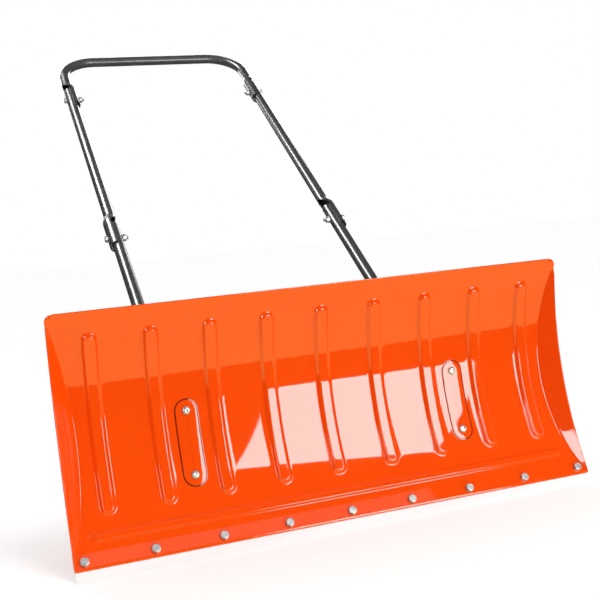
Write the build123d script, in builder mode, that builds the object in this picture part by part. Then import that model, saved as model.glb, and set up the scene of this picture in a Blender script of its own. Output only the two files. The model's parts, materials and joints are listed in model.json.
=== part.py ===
from build123d import *
import os
from math import asin, cos, degrees, pi, radians, sin, sqrt

# Walk-behind snow pusher, in millimetres. X runs across the blade, the blade
# faces -Y, the operator walks behind it at +Y, and Z is up. The origin is the
# middle of the cutting edge, on the ground. "left" is the operator's left, +X.

# --- blade ---------------------------------------------------------------
BLADE_WIDTH = 914.0
SHEET_T = 1.5
ARC_R = 347.4  # front face of the sheet
ARC_Y, ARC_Z = -251.1, 245.9  # centre of the blade's arc
EDGE_ANGLE, FOLD_ANGLE = -41.6, 24.0  # lower edge of the sheet, and the lip's fold
LIP_HEIGHT, LIP_ANGLE, LIP_CORNER = 16.7, 103.5, 13.0
EASE, EASE_LOW, EASE_HIGH = 0.2, -24.0, 16.0  # more radius below and above these angles
WING_WIDTH = 28.0  # flared ends, widest at mid-height
WING_SECTIONS = 9
WING_LAP, WING_T = 2.0, SHEET_T * sqrt(2)  # lap onto the sheet, and the radial thickness

RIB_COUNT, RIB_PITCH = 9, 97.7
RIB_BOTTOM, RIB_TOP = -28.5, 20.6
RIB_BASE, RIB_CREST, RIB_HEIGHT = 15.0, 6.5, 5.5  # half widths and height
CROSS_RIB_ANGLE, CROSS_RIB_HALF = -33.6, 423.0
CROSS_BASE, CROSS_CREST, CROSS_HEIGHT = 1.5, 0.6, 4.0  # degrees, degrees, mm

# --- wear strip ----------------------------------------------------------
STRIP_T, STRIP_TOP_ANGLE, STRIP_LENGTH = 4.0, -36.6, 26.0
STRIP_BOLT_COUNT, STRIP_BOLT_PITCH, STRIP_BOLT_ANGLE = 9, 110.0, -39.4

# --- brackets ------------------------------------------------------------
PLATE_T = 2.5
PLATE_INNER = 261.5  # X of the side plate's inner face
FLANGE_INNER = 227.0
FLANGE_X = 245.0  # X of the two bolts that hold each bracket
FLANGE_ANGLES = (-4.2, -21.7)
FLANGE_TOP, FLANGE_BOTTOM = 1.2, -27.4
PLATE_TOP_ANGLE, PLATE_LOW_ANGLE = 0.5, -27.9
PIVOT_Y, PIVOT_Z = 116.6, 151.5
QUADRANT_R = 101.0
SLOT_R, SLOT_WIDTH = 82.0, 9.0
TILT_RANGE = 32.0

# --- wheels --------------------------------------------------------------
AXLE_Y, WHEEL_R = 153.4, 63.5
RIM_R, HUB_R, RIM_HALF = 54.4, 17.0, 16.5
RIM_INNER_R = 49.0
WHEEL_X = 292.8
WINDOW_COUNT = 6
SPACER_R = 9.5

# --- handle --------------------------------------------------------------
TUBE_R, TUBE_WALL, TUBE_X = 12.5, 1.5, 248.5
HANDLE_ANGLE = 36.6  # above the ground, at rest
FRONT_END, LOWER_JOINT, UPPER_JOINT, BAR_AT = -19.0, 618.0, 1241.6, 1455.4
BAR_BEND = 90.0
CUP_BELOW, CUP_ABOVE, CUP_BLEND, TUBE_ABOVE = 29.0, 54.0, 28.0, 45.0
CUP_OFFSET, CUP_INNER, CUP_WALL = 3.0, 12.8, 3.0

# --- fasteners -----------------------------------------------------------
M8, M8_HOLE, M8_FLATS, M8_HEAD, M8_NUT = 4.0, 4.3, 13.0, 5.3, 6.5
M12, M12_HOLE, M12_FLATS, M12_HEAD, M12_NUT = 6.0, 6.3, 19.0, 7.5, 10.0
WASHER_T, M8_WASHER_R, M12_WASHER_R = 1.6, 8.0, 12.0
PIN_GAP = 0.05  # running clearance round a pin, on the radius
SEAT_GAP = 0.1  # under heads and nuts on curved faces
BODY_GAP = 0.4  # between faces of two bodies that move past each other
BUTTON_R, BUTTON_H, SOCKET_FLATS, SOCKET_DEPTH = 7.0, 4.4, 5.0, 2.6

SIDES = {"left": 1, "right": -1}
BACK_R = ARC_R + SHEET_T
AXLE_Z = WHEEL_R
BLADE_AXIS = Axis((0, ARC_Y, ARC_Z), (1, 0, 0))

os.makedirs("parts", exist_ok=True)


def save(piece, name):
    piece.label = name
    export_step(piece, f"parts/{name}.step")


def on_arc(radius, angle):
    """Point of the blade's section, as (y, z)."""
    return (ARC_Y + radius * cos(radians(angle)), ARC_Z + radius * sin(radians(angle)))


def radial_plane(angle, x=0.0):
    """Plane through the arc's axis: local X across the blade, local Y outwards."""
    turn = radians(angle)
    return Plane(origin=(x, ARC_Y, ARC_Z), x_dir=(1, 0, 0), z_dir=(0, -sin(turn), cos(turn)))


def normal_plane(x, radius, angle):
    """Plane on the blade's surface, its normal pointing back along the radius."""
    y, z = on_arc(radius, angle)
    turn = radians(angle)
    return Plane(origin=(x, y, z), x_dir=(1, 0, 0), z_dir=(0, cos(turn), sin(turn)))


def handle_point(along, across=0.0):
    """Point of the handle's line, as (y, z), from the pivot."""
    turn = radians(HANDLE_ANGLE)
    y = PIVOT_Y + along * cos(turn) - across * sin(turn)
    z = PIVOT_Z + along * sin(turn) + across * cos(turn)
    return (y, z)


def tube_plane(x, along):
    """Plane across a handle tube, its normal up the handle."""
    turn = radians(HANDLE_ANGLE)
    y, z = handle_point(along)
    return Plane(origin=(x, y, z), x_dir=(1, 0, 0), z_dir=(0, cos(turn), sin(turn)))


def outward(y, z, x, side):
    """Plane facing outwards on one side of the machine."""
    return Plane(origin=(x * side, y, z), x_dir=(0, side, 0), z_dir=(side, 0, 0))


def wing_width(share):
    """Width of the flared end at a share of the blade's height."""
    return 3.0 + WING_WIDTH * sin(pi * share) ** 0.8


# --- blade sheet ---------------------------------------------------------
crest_r = ARC_R - RIB_HEIGHT
bead = [(-RIB_BASE, ARC_R), (-RIB_CREST, crest_r), (RIB_CREST, crest_r), (RIB_BASE, ARC_R)]
bead_skin = bead + [(RIB_BASE, ARC_R + SHEET_T / 2), (-RIB_BASE, ARC_R + SHEET_T / 2)]
bead_hollow = [(x, r + SHEET_T) for x, r in bead] + [(RIB_BASE, BACK_R + 1), (-RIB_BASE, BACK_R + 1)]
END_WALL = degrees(SHEET_T / ARC_R)
lip_turn = radians(LIP_ANGLE)
fold_y, fold_z = on_arc(ARC_R, FOLD_ANGLE)
lip_plane = Plane(origin=(0, fold_y, fold_z), x_dir=(-1, 0, 0), z_dir=(0, sin(lip_turn), -cos(lip_turn)))


def cross_bead(lift):
    """Section of the long bead above the wear strip, moved outwards by lift."""
    base, crest = CROSS_RIB_ANGLE, ARC_R - CROSS_HEIGHT + lift
    return [
        on_arc(ARC_R + lift, base - CROSS_BASE),
        on_arc(crest, base - CROSS_CREST),
        on_arc(crest, base + CROSS_CREST),
        on_arc(ARC_R + lift, base + CROSS_BASE),
        on_arc(ARC_R + lift + SHEET_T / 2, base),
    ]


# The sheet is rolled a hair flatter below and above the ribs' middle stretch.
STRETCHES = (
    (EDGE_ANGLE, EASE_LOW, EASE, EASE_LOW),
    (EASE_LOW, EASE_HIGH, 0.0, EASE_LOW),
    (EASE_HIGH, FOLD_ANGLE, EASE, EASE_HIGH),
)
with BuildPart() as blade_sheet:
    with BuildSketch(Plane.YZ):
        for start, end, ease, joined_at in STRETCHES:
            centre = on_arc(-ease, joined_at)
            with BuildLine():
                front = CenterArc(centre, ARC_R + ease, start, end - start)
                back = CenterArc(centre, BACK_R + ease, start, end - start)
                Line(front @ 0, back @ 0)
                Line(front @ 1, back @ 1)
            make_face()
    extrude(amount=BLADE_WIDTH / 2, both=True)
    with BuildSketch(lip_plane):
        Rectangle(BLADE_WIDTH, LIP_HEIGHT, align=(Align.CENTER, Align.MIN))
        fillet(vertices().group_by(Axis.Y)[-1], LIP_CORNER)
    extrude(amount=SHEET_T)
    with BuildSketch(radial_plane(RIB_BOTTOM)):
        with GridLocations(RIB_PITCH, 0, RIB_COUNT, 1):
            Polygon(*bead_skin, align=None)
    revolve(axis=BLADE_AXIS, revolution_arc=RIB_TOP - RIB_BOTTOM)
    with BuildSketch(radial_plane(RIB_BOTTOM + END_WALL)):
        with GridLocations(RIB_PITCH, 0, RIB_COUNT, 1):
            Polygon(*bead_hollow, align=None)
    revolve(axis=BLADE_AXIS, revolution_arc=RIB_TOP - RIB_BOTTOM - 2 * END_WALL, mode=Mode.SUBTRACT)
    with BuildSketch(Plane.YZ):
        Polygon(*cross_bead(0), align=None)
    extrude(amount=CROSS_RIB_HALF, both=True)
    with BuildSketch(Plane.YZ):
        Polygon(*cross_bead(SHEET_T), align=None)
    extrude(amount=CROSS_RIB_HALF - SHEET_T, both=True, mode=Mode.SUBTRACT)
    for side in SIDES.values():
        shares = [i / (WING_SECTIONS - 1) for i in range(WING_SECTIONS)]
        for share in shares:
            edge, width = BLADE_WIDTH / 2, wing_width(share)
            with BuildSketch(radial_plane(EDGE_ANGLE + share * (FOLD_ANGLE - EDGE_ANGLE))):
                Polygon(
                    (side * (edge - width), ARC_R - 3),
                    (side * (edge + 2), ARC_R - 3),
                    (side * (edge + 2), BACK_R + 3),
                    (side * (edge - width), BACK_R + 3),
                    align=None,
                )
        loft(ruled=True, mode=Mode.SUBTRACT)
        for share in shares:
            edge, width = BLADE_WIDTH / 2, wing_width(share)
            with BuildSketch(radial_plane(EDGE_ANGLE + share * (FOLD_ANGLE - EDGE_ANGLE))):
                Polygon(
                    (side * (edge - width - WING_LAP), ARC_R + 0.2 * SHEET_T),
                    (side * (edge - width), ARC_R),
                    (side * edge, ARC_R - width),
                    (side * edge, ARC_R - width + WING_T),
                    (side * (edge - width), ARC_R + WING_T),
                    (side * (edge - width - WING_LAP), ARC_R + 0.8 * SHEET_T),
                    align=None,
                )
        loft(ruled=True)
    with BuildSketch(radial_plane(EDGE_ANGLE)):  # room for the strip behind the ends
        with Locations((0, BACK_R + STRIP_T / 2)):
            Rectangle(BLADE_WIDTH, STRIP_T)
    revolve(axis=BLADE_AXIS, revolution_arc=STRIP_TOP_ANGLE - EDGE_ANGLE, mode=Mode.SUBTRACT)
    strip_holes = [
        normal_plane((i - (STRIP_BOLT_COUNT - 1) / 2) * STRIP_BOLT_PITCH, ARC_R, STRIP_BOLT_ANGLE)
        for i in range(STRIP_BOLT_COUNT)
    ]
    flange_holes = [
        normal_plane(side * FLANGE_X, ARC_R, angle) for side in SIDES.values() for angle in FLANGE_ANGLES
    ]
    for plane in strip_holes + flange_holes:
        with BuildSketch(plane):
            Circle(M8_HOLE)
        extrude(amount=5, both=True, mode=Mode.SUBTRACT)
save(blade_sheet.part, "blade_sheet")

# --- wear strip, bolted behind the sheet's lower edge -----------------------
STRIP_FRONT_R = BACK_R
STRIP_BACK_R = BACK_R + STRIP_T
edge_turn = radians(EDGE_ANGLE)
down_y, down_z = sin(edge_turn), -cos(edge_turn)
front_end = on_arc(STRIP_FRONT_R, EDGE_ANGLE)
back_end = on_arc(STRIP_BACK_R, EDGE_ANGLE)
with BuildPart() as wear_strip:
    with BuildSketch(Plane.YZ):
        with BuildLine():
            front = CenterArc((ARC_Y, ARC_Z), STRIP_FRONT_R, EDGE_ANGLE, STRIP_TOP_ANGLE - EDGE_ANGLE)
            back = CenterArc((ARC_Y, ARC_Z), STRIP_BACK_R, EDGE_ANGLE, STRIP_TOP_ANGLE - EDGE_ANGLE)
            front_tip = (front_end[0] + STRIP_LENGTH * down_y, front_end[1] + STRIP_LENGTH * down_z)
            back_tip = (back_end[0] + STRIP_LENGTH * down_y, back_end[1] + STRIP_LENGTH * down_z)
            Line(front @ 1, back @ 1)
            Polyline(front_end, front_tip, back_tip, back_end)
        make_face()
    extrude(amount=BLADE_WIDTH / 2, both=True)
    split(bisect_by=Plane.XY, keep=Keep.TOP)  # the tip is worn flat on the ground
    for plane in strip_holes:
        with BuildSketch(plane):
            Circle(M8_HOLE)
        extrude(amount=2 * STRIP_T, both=True, mode=Mode.SUBTRACT)
save(wear_strip.part, "wear_strip")

# Each bolt's plane lies on the sheet's front face, its normal pointing back.
with BuildPart() as strip_bolts:
    for plane in strip_holes:
        with BuildSketch(plane.offset(-SEAT_GAP)):
            RegularPolygon(M8_FLATS / 2, 6, major_radius=False)
        extrude(amount=-M8_HEAD)
        with BuildSketch(plane.offset(-SEAT_GAP)):
            Circle(M8)
        extrude(amount=SHEET_T + STRIP_T + M8_NUT + 2)
save(strip_bolts.part, "strip_bolts")

with BuildPart() as strip_nuts:
    for plane in strip_holes:
        with BuildSketch(plane.offset(SHEET_T + STRIP_T + SEAT_GAP)):
            RegularPolygon(M8_FLATS / 2, 6, major_radius=False)
            Circle(M8, mode=Mode.SUBTRACT)
        extrude(amount=M8_NUT)
save(strip_nuts.part, "strip_nuts")

# --- brackets ----------------------------------------------------------------
turn = radians(HANDLE_ANGLE)
EDGE_OFFSET = -9.5  # lower edge of the plate, across from the handle's line
rear_corner = handle_point(sqrt(QUADRANT_R**2 - EDGE_OFFSET**2), EDGE_OFFSET)
inner_corner = handle_point(-6.5, EDGE_OFFSET)
AXLE_CORNER = (AXLE_Y + 76.0, AXLE_Z - 53.0)
plate_top, plate_low = on_arc(BACK_R, PLATE_TOP_ANGLE), on_arc(BACK_R, PLATE_LOW_ANGLE)
top_reach = sqrt((plate_top[0] - PIVOT_Y) ** 2 + (plate_top[1] - PIVOT_Z) ** 2)
top_angle = 180.0 - degrees(asin((plate_top[1] - PIVOT_Z) / top_reach))
rear_angle = HANDLE_ANGLE + degrees(asin(EDGE_OFFSET / QUADRANT_R))
mid_angle = radians((top_angle + rear_angle) / 2)
quadrant_mid = (PIVOT_Y + QUADRANT_R * cos(mid_angle), PIVOT_Z + QUADRANT_R * sin(mid_angle))
for side_name, side in SIDES.items():
    with BuildPart() as bracket:
        with BuildSketch(Plane.YZ.offset(side * PLATE_INNER)):
            with BuildLine():
                blade_side = CenterArc(
                    (ARC_Y, ARC_Z), BACK_R, PLATE_LOW_ANGLE, PLATE_TOP_ANGLE - PLATE_LOW_ANGLE
                )
                ThreePointArc(plate_top, quadrant_mid, rear_corner)
                Polyline(rear_corner, inner_corner, AXLE_CORNER, plate_low)
            make_face()
            for corner, radius in ((rear_corner, 14.0), (inner_corner, 24.0), (AXLE_CORNER, 21.0)):
                fillet(vertices().sort_by_distance(corner)[0], radius)
            with Locations((PIVOT_Y, PIVOT_Z)):
                Circle(M8_HOLE, mode=Mode.SUBTRACT)
            with Locations((AXLE_Y, AXLE_Z)):
                Circle(M12_HOLE, mode=Mode.SUBTRACT)
            with BuildLine(mode=Mode.PRIVATE) as slot_line:
                CenterArc((PIVOT_Y, PIVOT_Z), SLOT_R, HANDLE_ANGLE, TILT_RANGE)
            SlotArc(slot_line.edges()[0], SLOT_WIDTH + 2 * BODY_GAP, mode=Mode.SUBTRACT)
        extrude(amount=side * PLATE_T)
        with BuildSketch(radial_plane(FLANGE_BOTTOM)):
            Polygon(
                (side * FLANGE_INNER, BACK_R),
                (side * (PLATE_INNER + PLATE_T), BACK_R),
                (side * (PLATE_INNER + PLATE_T), BACK_R + PLATE_T),
                (side * FLANGE_INNER, BACK_R + PLATE_T),
                align=None,
            )
        revolve(axis=BLADE_AXIS, revolution_arc=FLANGE_TOP - FLANGE_BOTTOM)
        for angle in FLANGE_ANGLES:
            with BuildSketch(normal_plane(side * FLANGE_X, ARC_R, angle)):
                Circle(M8_HOLE)
            extrude(amount=SHEET_T + 2 * PLATE_T, mode=Mode.SUBTRACT)
    save(bracket.part, f"{side_name}_bracket")

# Dome-headed socket bolts, head on the blade's front face.
with BuildPart() as bracket_bolts:
    for plane in flange_holes:
        with BuildSketch(plane.offset(-SEAT_GAP)):
            Circle(BUTTON_R)
        extrude(amount=-BUTTON_H / 2)
        with BuildSketch(plane.offset(-SEAT_GAP - BUTTON_H / 2)):
            Circle(BUTTON_R)
        extrude(amount=-BUTTON_H / 2, taper=40)
        with BuildSketch(plane.offset(-SEAT_GAP - BUTTON_H)):
            RegularPolygon(SOCKET_FLATS / 2, 6, major_radius=False)
        extrude(amount=SOCKET_DEPTH, mode=Mode.SUBTRACT)
        with BuildSketch(plane.offset(-SEAT_GAP)):
            Circle(M8)
        extrude(amount=SHEET_T + PLATE_T + M8_NUT + 1.5)
save(bracket_bolts.part, "bracket_bolts")

with BuildPart() as bracket_nuts:
    for plane in flange_holes:
        with BuildSketch(plane.offset(SHEET_T + PLATE_T + SEAT_GAP)):
            RegularPolygon(M8_FLATS / 2, 6, major_radius=False)
            Circle(M8, mode=Mode.SUBTRACT)
        extrude(amount=M8_NUT)
save(bracket_nuts.part, "bracket_nuts")


# --- wheels, axles, pivots and locks, on each side ---------------------------
HUB_INNER = WHEEL_X - RIM_HALF
HUB_OUTER = WHEEL_X + RIM_HALF
PLATE_OUTER = PLATE_INNER + PLATE_T
TUBE_INNER = TUBE_X - TUBE_R
for side_name, side in SIDES.items():
    with BuildPart() as tyre:
        with BuildSketch(Plane.XZ.offset(-AXLE_Y)):
            with Locations((side * WHEEL_X, AXLE_Z + (WHEEL_R + RIM_R) / 2)):
                Rectangle(2 * RIM_HALF, WHEEL_R - RIM_R)
            fillet(vertices().group_by(Axis.Y)[-1], 7.0)
        revolve(axis=Axis((0, AXLE_Y, AXLE_Z), (1, 0, 0)))
    save(tyre.part, f"{side_name}_tyre")

    with BuildPart() as rim:
        with BuildSketch(outward(AXLE_Y, AXLE_Z, WHEEL_X - RIM_HALF + 1, side)):
            Circle(RIM_R)
            Circle(RIM_INNER_R, mode=Mode.SUBTRACT)
        extrude(amount=2 * RIM_HALF - 2)
        with BuildSketch(outward(AXLE_Y, AXLE_Z, HUB_INNER, side)):
            Circle(HUB_R)
        extrude(amount=2 * RIM_HALF)
        with BuildSketch(outward(AXLE_Y, AXLE_Z, WHEEL_X - 5, side)):
            Circle(RIM_INNER_R + 1)
            with PolarLocations(0, WINDOW_COUNT):
                with BuildLine():
                    Line((30, 0), (44, 0))
                    RadiusArc((44, 0), (36.5, 26.5), -46)
                    RadiusArc((36.5, 26.5), (30, 0), 60)
                make_face(mode=Mode.SUBTRACT)
        extrude(amount=12)
        with BuildSketch(outward(AXLE_Y, AXLE_Z, HUB_INNER, side)):
            Circle(M12 + 2.5)
        extrude(amount=2 * RIM_HALF, mode=Mode.SUBTRACT)
    save(rim.part, f"{side_name}_rim")

    with BuildPart() as bush:
        with BuildSketch(outward(AXLE_Y, AXLE_Z, HUB_INNER, side)):
            Circle(M12 + 2.5)
            Circle(M12 + PIN_GAP, mode=Mode.SUBTRACT)
        extrude(amount=2 * RIM_HALF)
    save(bush.part, f"{side_name}_bush")

    with BuildPart() as axle_bolt:
        with BuildSketch(outward(AXLE_Y, AXLE_Z, HUB_OUTER + BODY_GAP + WASHER_T, side)):
            RegularPolygon(M12_FLATS / 2, 6, major_radius=False)
        extrude(amount=M12_HEAD)
        chamfer(edges().group_by(Axis.X)[-1 if side > 0 else 0], 1.0)
        with BuildSketch(outward(AXLE_Y, AXLE_Z, PLATE_INNER - WASHER_T - M12_NUT - 3, side)):
            Circle(M12)
        extrude(amount=HUB_OUTER + BODY_GAP + 2 * WASHER_T - PLATE_INNER + M12_NUT + 3)
    save(axle_bolt.part, f"{side_name}_axle_bolt")

    with BuildPart() as axle_washers:
        for x in (PLATE_INNER - WASHER_T, HUB_OUTER + BODY_GAP):
            with BuildSketch(outward(AXLE_Y, AXLE_Z, x, side)):
                Circle(M12_WASHER_R)
                Circle(M12_HOLE, mode=Mode.SUBTRACT)
            extrude(amount=WASHER_T)
    save(axle_washers.part, f"{side_name}_axle_washers")

    with BuildPart() as axle_nut:
        with BuildSketch(outward(AXLE_Y, AXLE_Z, PLATE_INNER - WASHER_T - M12_NUT, side)):
            RegularPolygon(M12_FLATS / 2, 6, major_radius=False)
            Circle(M12, mode=Mode.SUBTRACT)
        extrude(amount=M12_NUT)
    save(axle_nut.part, f"{side_name}_axle_nut")

    with BuildPart() as axle_spacer:
        with BuildSketch(outward(AXLE_Y, AXLE_Z, PLATE_OUTER, side)):
            Circle(SPACER_R)
            Circle(M12_HOLE, mode=Mode.SUBTRACT)
        extrude(amount=HUB_INNER - BODY_GAP - PLATE_OUTER)
    save(axle_spacer.part, f"{side_name}_axle_spacer")

    # The pivot bolt is fixed in the bracket; the handle tube turns on it.
    with BuildPart() as pivot_bolt:
        with BuildSketch(outward(PIVOT_Y, PIVOT_Z, PLATE_OUTER, side)):
            RegularPolygon(M8_FLATS / 2, 6, major_radius=False)
        extrude(amount=M8_HEAD)
        with BuildSketch(outward(PIVOT_Y, PIVOT_Z, TUBE_INNER - BODY_GAP - M8_NUT - 2, side)):
            Circle(M8)
        extrude(amount=PLATE_OUTER - TUBE_INNER + BODY_GAP + M8_NUT + 3)
    save(pivot_bolt.part, f"{side_name}_pivot_bolt")

    with BuildPart() as pivot_nut:
        with BuildSketch(outward(PIVOT_Y, PIVOT_Z, TUBE_INNER - BODY_GAP - M8_NUT, side)):
            RegularPolygon(M8_FLATS / 2, 6, major_radius=False)
            Circle(M8, mode=Mode.SUBTRACT)
        extrude(amount=M8_NUT)
    save(pivot_nut.part, f"{side_name}_pivot_nut")

    # The lock bolt rides in the bracket's slot and moves with the handle.
    lock_y, lock_z = handle_point(SLOT_R)
    with BuildPart() as lock_bolt:
        with BuildSketch(outward(lock_y, lock_z, PLATE_OUTER + BODY_GAP + WASHER_T, side)):
            RegularPolygon(M8_FLATS / 2, 6, major_radius=False)
        extrude(amount=M8_HEAD)
        with BuildSketch(outward(lock_y, lock_z, TUBE_INNER - M8_NUT - 2, side)):
            Circle(M8)
        extrude(amount=PLATE_OUTER + BODY_GAP + 2 * WASHER_T - TUBE_INNER + M8_NUT + 2)
    save(lock_bolt.part, f"{side_name}_lock_bolt")

    with BuildPart() as lock_washer:
        with BuildSketch(outward(lock_y, lock_z, PLATE_OUTER + BODY_GAP, side)):
            Circle(M8_WASHER_R)
            Circle(M8_HOLE, mode=Mode.SUBTRACT)
        extrude(amount=WASHER_T)
    save(lock_washer.part, f"{side_name}_lock_washer")

    with BuildPart() as lock_nut:
        with BuildSketch(outward(lock_y, lock_z, TUBE_INNER - M8_NUT, side)):
            RegularPolygon(M8_FLATS / 2, 6, major_radius=False)
            Circle(M8, mode=Mode.SUBTRACT)
        extrude(amount=M8_NUT)
    save(lock_nut.part, f"{side_name}_lock_nut")


# --- handle tubes ------------------------------------------------------------
def cross_hole(part_x, along):
    """Plane across X, centred on the handle's line, for a hole through a tube."""
    y, z = handle_point(along)
    return Plane(origin=(part_x, y, z), x_dir=(0, 1, 0), z_dir=(1, 0, 0))


def cup_outline(outward_side):
    """Half ring that cups the next tube, open towards the other side."""
    shift, outer = outward_side * CUP_OFFSET, CUP_INNER + CUP_WALL
    with BuildLine() as outline:
        ThreePointArc((shift, outer), (shift + outward_side * outer, 0), (shift, -outer))
        Line((shift, -outer), (shift, -CUP_INNER))
        ThreePointArc((shift, -CUP_INNER), (shift + outward_side * CUP_INNER, 0), (shift, CUP_INNER))
        Line((shift, CUP_INNER), (shift, outer))
    return outline.edges()


def cup_neck(x, along, outward_side):
    """Shell that leads from a cup at along to the round tube CUP_BLEND further on."""
    shift = outward_side * CUP_OFFSET
    with BuildPart() as neck:
        for cup_radius, tube_radius, mode in (
            (CUP_INNER + CUP_WALL, TUBE_R, Mode.ADD),
            (CUP_INNER, TUBE_R - TUBE_WALL, Mode.SUBTRACT),
        ):
            with BuildSketch(tube_plane(x, along)):
                with Locations((shift, 0)):
                    Circle(cup_radius)
            with BuildSketch(tube_plane(x, along + CUP_BLEND)):
                Circle(tube_radius)
            loft(mode=mode)
        y, z = handle_point(along)
        with BuildSketch(Plane(origin=(x, y, z), x_dir=(1, 0, 0), z_dir=(0, -sin(turn), cos(turn)))):
            far = -2 * outward_side * TUBE_R
            Polygon((shift, 0), (far, 0), (far, CUP_BLEND), (far / 2, CUP_BLEND), align=None)
        extrude(amount=2 * TUBE_R, both=True, mode=Mode.SUBTRACT)
    return neck.part


for side_name, side in SIDES.items():
    x = side * TUBE_X
    with BuildPart() as lower_tube:
        with BuildSketch(tube_plane(x, FRONT_END)):
            Circle(TUBE_R)
            Circle(TUBE_R - TUBE_WALL, mode=Mode.SUBTRACT)
        extrude(amount=LOWER_JOINT + TUBE_ABOVE - FRONT_END)
        for along, radius in ((0, M8 + PIN_GAP), (SLOT_R, M8_HOLE), (LOWER_JOINT, M8_HOLE)):
            with BuildSketch(cross_hole(x, along)):
                Circle(radius)
            extrude(amount=2 * TUBE_R, both=True, mode=Mode.SUBTRACT)
    save(lower_tube.part, f"{side_name}_lower_tube")

    with BuildPart() as tube_cap:
        with BuildSketch(tube_plane(x, FRONT_END - 3)):
            Circle(TUBE_R)
        extrude(amount=3)
        with BuildSketch(tube_plane(x, FRONT_END)):
            Circle(TUBE_R - TUBE_WALL)
        extrude(amount=9)
    save(tube_cap.part, f"{side_name}_tube_cap")

    with BuildPart() as middle_tube:
        with BuildSketch(tube_plane(x, LOWER_JOINT + CUP_ABOVE + CUP_BLEND)):
            Circle(TUBE_R)
            Circle(TUBE_R - TUBE_WALL, mode=Mode.SUBTRACT)
        extrude(amount=UPPER_JOINT + TUBE_ABOVE - LOWER_JOINT - CUP_ABOVE - CUP_BLEND)
        with BuildSketch(tube_plane(x, LOWER_JOINT - CUP_BELOW)):
            make_face(cup_outline(side))
        extrude(amount=CUP_BELOW + CUP_ABOVE)
        add(cup_neck(x, LOWER_JOINT + CUP_ABOVE, side))
        for along in (LOWER_JOINT, UPPER_JOINT):
            with BuildSketch(cross_hole(x, along)):
                Circle(M8_HOLE)
            extrude(amount=2 * TUBE_R, both=True, mode=Mode.SUBTRACT)
    save(middle_tube.part, f"{side_name}_middle_tube")

BAR_PLANE = Plane(origin=(0, PIVOT_Y, PIVOT_Z), x_dir=(1, 0, 0), z_dir=(0, -sin(turn), cos(turn)))
LEG_START = UPPER_JOINT + CUP_ABOVE + CUP_BLEND
BEND_START = BAR_AT - BAR_BEND
with BuildPart() as handle_bar:
    with BuildLine(BAR_PLANE, mode=Mode.PRIVATE) as bar_path:
        RadiusArc((-TUBE_X, BEND_START), (BAR_BEND - TUBE_X, BAR_AT), BAR_BEND)
        Line((BAR_BEND - TUBE_X, BAR_AT), (TUBE_X - BAR_BEND, BAR_AT))
        RadiusArc((TUBE_X - BAR_BEND, BAR_AT), (TUBE_X, BEND_START), BAR_BEND)
    for radius, mode in ((TUBE_R, Mode.ADD), (TUBE_R - TUBE_WALL, Mode.SUBTRACT)):
        with BuildSketch(tube_plane(-TUBE_X, BEND_START)):
            Circle(radius)
        sweep(path=bar_path.wires()[0], mode=mode)
    for side in SIDES.values():
        x = side * TUBE_X
        with BuildSketch(tube_plane(x, UPPER_JOINT - CUP_BELOW)):
            make_face(cup_outline(-side))
        extrude(amount=CUP_BELOW + CUP_ABOVE)
        add(cup_neck(x, UPPER_JOINT + CUP_ABOVE, -side))
        with BuildSketch(tube_plane(x, LEG_START)):
            Circle(TUBE_R)
            Circle(TUBE_R - TUBE_WALL, mode=Mode.SUBTRACT)
        extrude(amount=BEND_START - LEG_START)
        with BuildSketch(cross_hole(x, UPPER_JOINT)):
            Circle(M8_HOLE)
        extrude(amount=2 * TUBE_R, both=True, mode=Mode.SUBTRACT)
save(handle_bar.part, "handle_bar")

# Joint bolts: head on the machine's outer side, nut towards the middle.
CUP_REACH = CUP_OFFSET + CUP_INNER + CUP_WALL
JOINTS = {
    "lower": (LOWER_JOINT, TUBE_X + CUP_REACH, TUBE_X - TUBE_R),
    "upper": (UPPER_JOINT, TUBE_X + TUBE_R, TUBE_X - CUP_REACH),
}
for joint_name, (along, head_x, nut_x) in JOINTS.items():
    y, z = handle_point(along)
    with BuildPart() as joint_bolts:
        for side in SIDES.values():
            with BuildSketch(outward(y, z, head_x + SEAT_GAP, side)):
                RegularPolygon(M8_FLATS / 2, 6, major_radius=False)
            extrude(amount=M8_HEAD)
            with BuildSketch(outward(y, z, nut_x - WASHER_T - M8_NUT - 5, side)):
                Circle(M8)
            extrude(amount=head_x - nut_x + WASHER_T + M8_NUT + 6)
    save(joint_bolts.part, f"{joint_name}_joint_bolts")

    with BuildPart() as joint_washers:
        for side in SIDES.values():
            with BuildSketch(outward(y, z, nut_x - WASHER_T - SEAT_GAP, side)):
                Circle(M8_WASHER_R)
                Circle(M8_HOLE, mode=Mode.SUBTRACT)
            extrude(amount=WASHER_T)
    save(joint_washers.part, f"{joint_name}_joint_washers")

    with BuildPart() as joint_nuts:
        for side in SIDES.values():
            with BuildSketch(outward(y, z, nut_x - WASHER_T - M8_NUT - SEAT_GAP, side)):
                RegularPolygon(M8_FLATS / 2, 6, major_radius=False)
                Circle(M8, mode=Mode.SUBTRACT)
            extrude(amount=M8_NUT)
    save(joint_nuts.part, f"{joint_name}_joint_nuts")
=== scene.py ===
"""Looks of a walk-behind wheeled snow pusher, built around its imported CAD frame.

Sizes are in millimetres in the CAD part's frame: X across the blade, the blade
faces -Y, Z up, origin in the middle of the cutting edge. MM turns them into metres.
"""

import json
from math import cos, pi, radians, sin, sqrt, tan

import bmesh
import bpy
from mathutils import Matrix, Vector


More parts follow.
